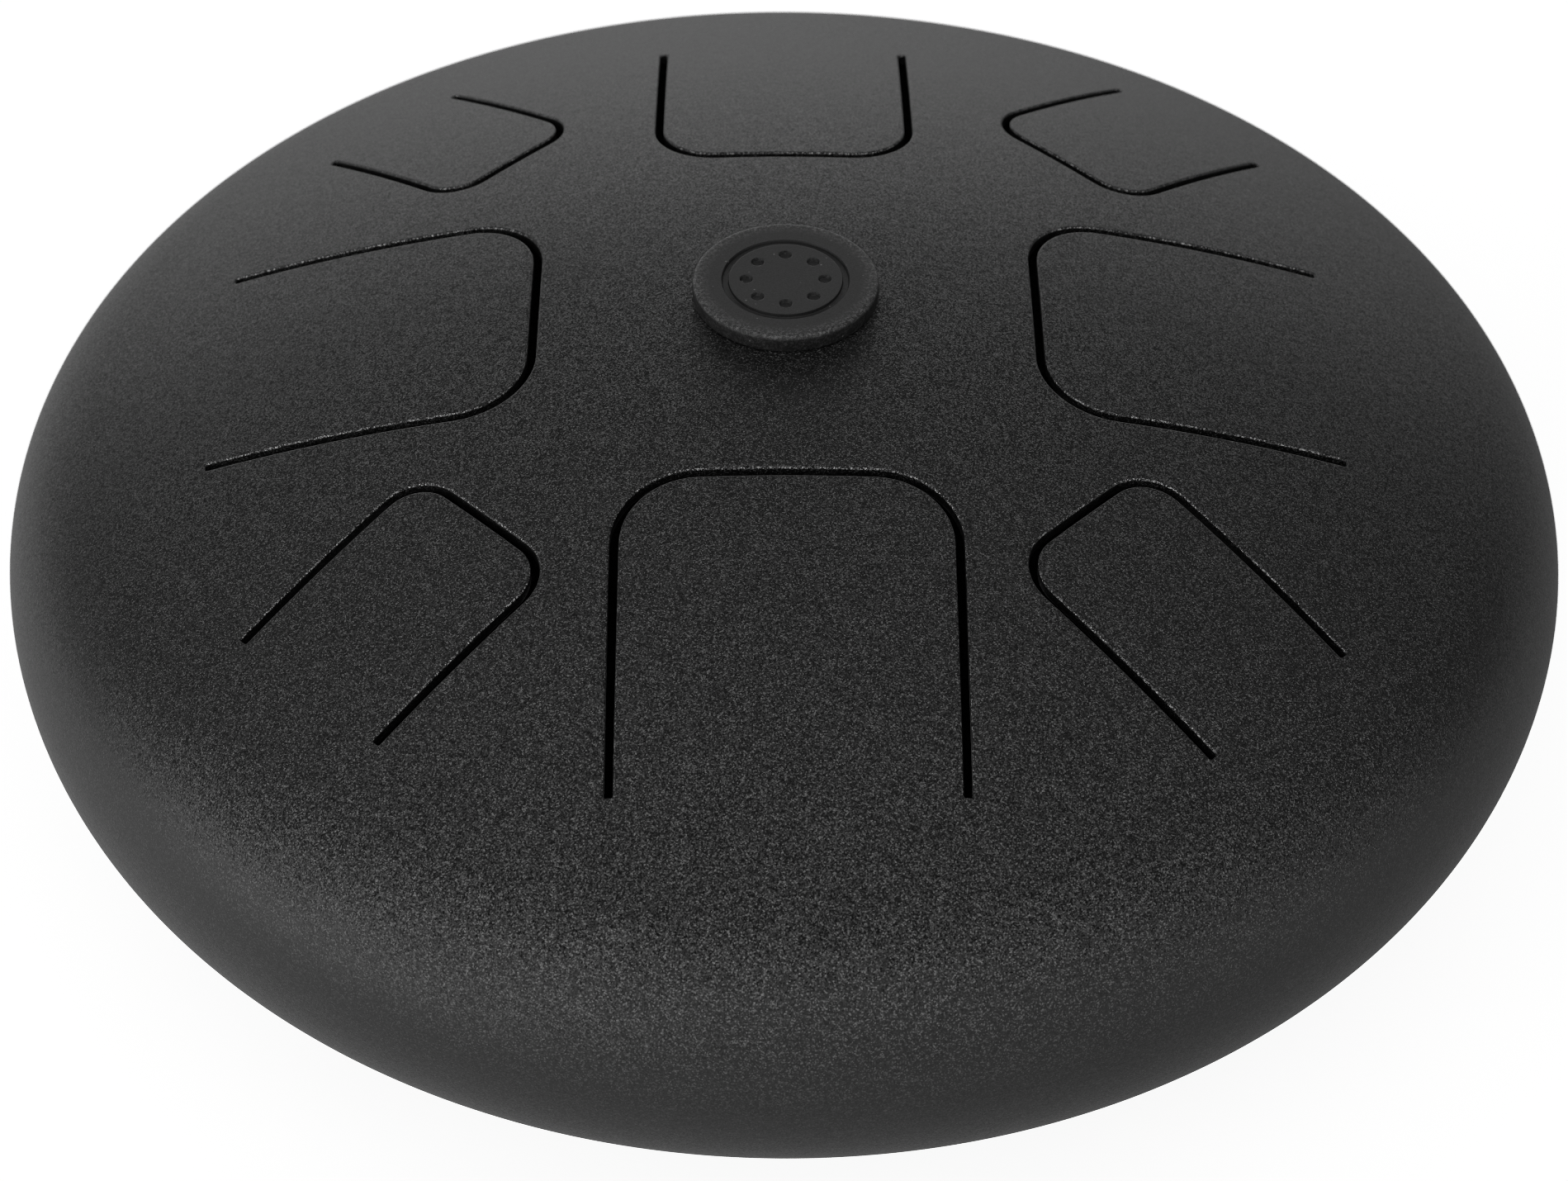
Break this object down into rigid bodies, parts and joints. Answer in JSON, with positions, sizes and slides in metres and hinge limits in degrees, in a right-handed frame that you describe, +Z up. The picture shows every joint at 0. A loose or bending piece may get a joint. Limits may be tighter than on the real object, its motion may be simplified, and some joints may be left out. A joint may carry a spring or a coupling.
{
  "type": "steel tongue drum",
  "caption": "Black steel tongue drum: a lens-shaped shell of two welded bowls, sprung tongues cut in its domed top, a round rubber plug in the centre and rubber feet below.",
  "frame": {"origin": "centre of the ground plane that the feet stand on, on the drum's axis", "axes": "+Z up along the drum's axis; the largest tongue faces -Y; +X is the player's right with that tongue nearest to the player"},
  "size_m": [0.254, 0.254, 0.1066],
  "materials": {
    "coated_steel": "fine-textured matt powder coat, charcoal black",
    "plug_rubber": "smooth matt moulded rubber",
    "foot_rubber": "matt moulded rubber"
  },
  "bodies": {
    "shell": {"top_shell": "coated_steel", "bottom_shell": "coated_steel", "seam_weld": "coated_steel", "foot_front": "foot_rubber", "foot_back_left": "foot_rubber", "foot_back_right": "foot_rubber"},
    "tongue_front": {"tongue_front": "coated_steel"},
    "tongue_back": {"tongue_back": "coated_steel"},
    "tongue_left": {"tongue_left": "coated_steel"},
    "tongue_right": {"tongue_right": "coated_steel"},
    "tongue_front_left": {"tongue_front_left": "coated_steel"},
    "tongue_front_right": {"tongue_front_right": "coated_steel"},
    "tongue_back_left": {"tongue_back_left": "coated_steel"},
    "tongue_back_right": {"tongue_back_right": "coated_steel"},
    "plug": {"centre_plug": "plug_rubber"}
  },
  "joints": [
    {"name": "flex_front", "type": "hinge", "parent": "shell", "child": "tongue_front", "pos_m": [0, -0.0936, 0.08601], "axis": [-1, 0, 0], "range_deg": [-1, 1], "stiffness_Nm_per_rad": 16.4},
    {"name": "flex_back", "type": "hinge", "parent": "shell", "child": "tongue_back", "pos_m": [0, 0.0854, 0.08899], "axis": [1, 0, 0], "range_deg": [-1, 1], "stiffness_Nm_per_rad": 7.3},
    {"name": "flex_left", "type": "hinge", "parent": "shell", "child": "tongue_left", "pos_m": [-0.0903, 0, 0.08726], "axis": [0, 1, 0], "range_deg": [-1, 1], "stiffness_Nm_per_rad": 12.1},
    {"name": "flex_right", "type": "hinge", "parent": "shell", "child": "tongue_right", "pos_m": [0.0872, 0, 0.0883], "axis": [0, -1, 0], "range_deg": [-1, 1], "stiffness_Nm_per_rad": 10},
    {"name": "flex_front_left", "type": "hinge", "parent": "shell", "child": "tongue_front_left", "pos_m": [-0.0705, -0.0705, 0.08415], "axis": [-0.7071, 0.7071, 0], "range_deg": [-1, 1], "stiffness_Nm_per_rad": 2.8},
    {"name": "flex_front_right", "type": "hinge", "parent": "shell", "child": "tongue_front_right", "pos_m": [0.07248, -0.07248, 0.08307], "axis": [-0.7071, -0.7071, 0], "range_deg": [-1, 1], "stiffness_Nm_per_rad": 4},
    {"name": "flex_back_left", "type": "hinge", "parent": "shell", "child": "tongue_back_left", "pos_m": [-0.06739, 0.06739, 0.08583], "axis": [0.7071, 0.7071, 0], "range_deg": [-1, 1], "stiffness_Nm_per_rad": 1.7},
    {"name": "flex_back_right", "type": "hinge", "parent": "shell", "child": "tongue_back_right", "pos_m": [0.0705, 0.0705, 0.08414], "axis": [0.7071, -0.7071, 0], "range_deg": [-1, 1], "stiffness_Nm_per_rad": 2.7},
    {"name": "plug_lift", "type": "slide", "parent": "shell", "child": "plug", "axis": [0, 0, 1], "range_m": [0, 0.03]}
  ]
}
